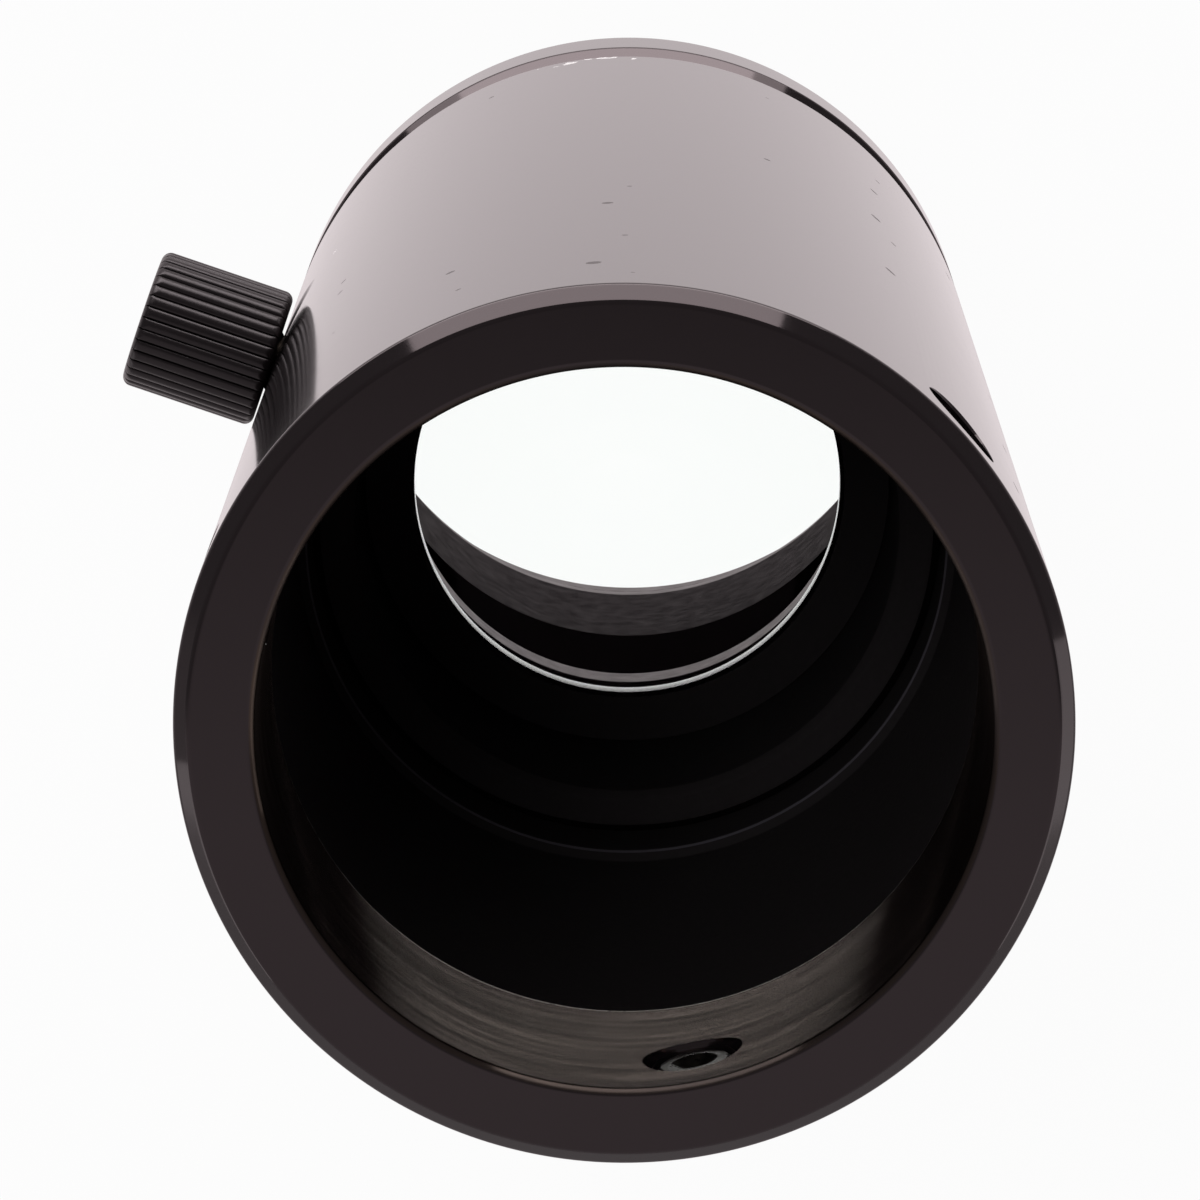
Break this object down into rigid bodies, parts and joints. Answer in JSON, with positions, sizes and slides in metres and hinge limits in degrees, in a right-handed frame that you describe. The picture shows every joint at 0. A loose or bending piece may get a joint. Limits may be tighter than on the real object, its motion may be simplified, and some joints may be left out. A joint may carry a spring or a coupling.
{
  "type": "lens mount adapter",
  "caption": "Black anodised tube adapter: a clamp bore with sunk screws at the mouth, a draw tube with a lens locked by a fluted thumb screw, and a threaded nose for a camera.",
  "frame": {"origin": "on the optical axis at the end face of the camera nose, on which the part stands", "axes": "+Z along the optical axis out of the clamp mouth, +X through the thumb screw"},
  "size_m": [0.0553, 0.0464, 0.1152],
  "materials": {
    "black_anodised": "black anodised, satin",
    "crown_glass": "polished and coated",
    "flint_glass": "polished and coated",
    "black_plastic": "moulded, fluted",
    "black_steel": "black oxide"
  },
  "bodies": {
    "draw_unit": {"draw_tube": "black_anodised", "camera_ring": "black_anodised", "lens_crown": "crown_glass", "lens_flint": "flint_glass", "lens_retainer": "black_anodised"},
    "tube_unit": {"clamp_tube": "black_anodised"},
    "thumb_stud": {"thumb_stud": "black_steel"},
    "thumb_knob": {"thumb_knob": "black_plastic"},
    "clamp_screw_a": {"clamp_screw_a": "black_steel"},
    "clamp_screw_b": {"clamp_screw_b": "black_steel"},
    "clamp_screw_c": {"clamp_screw_c": "black_steel"}
  },
  "joints": [
    {"name": "tube_slide", "type": "slide", "parent": "draw_unit", "child": "tube_unit", "axis": [0, 0, 1], "range_m": [-0.0039, 0.012]},
    {"name": "thumb_stud_travel", "type": "slide", "parent": "tube_unit", "child": "thumb_stud", "axis": [1, 0, 0], "range_m": [0, 0.002]},
    {"name": "thumb_knob_turn", "type": "hinge", "parent": "thumb_stud", "child": "thumb_knob", "pos_m": [0.0277, 0, 0.0446], "axis": [1, 0, 0], "range_deg": [0, 1030]},
    {"name": "clamp_screw_a_travel", "type": "slide", "parent": "tube_unit", "child": "clamp_screw_a", "axis": [1, 0, 0], "range_m": [-0.0017, 0.0007]},
    {"name": "clamp_screw_b_travel", "type": "slide", "parent": "tube_unit", "child": "clamp_screw_b", "axis": [-0.5, 0.866, 0], "range_m": [-0.0017, 0.0007]},
    {"name": "clamp_screw_c_travel", "type": "slide", "parent": "tube_unit", "child": "clamp_screw_c", "axis": [-0.5, -0.866, 0], "range_m": [-0.0017, 0.0007]}
  ],
  "couplings": [
    {"joint": "thumb_knob_turn", "follows": "thumb_stud_travel", "rad_per_m": 8976}
  ]
}
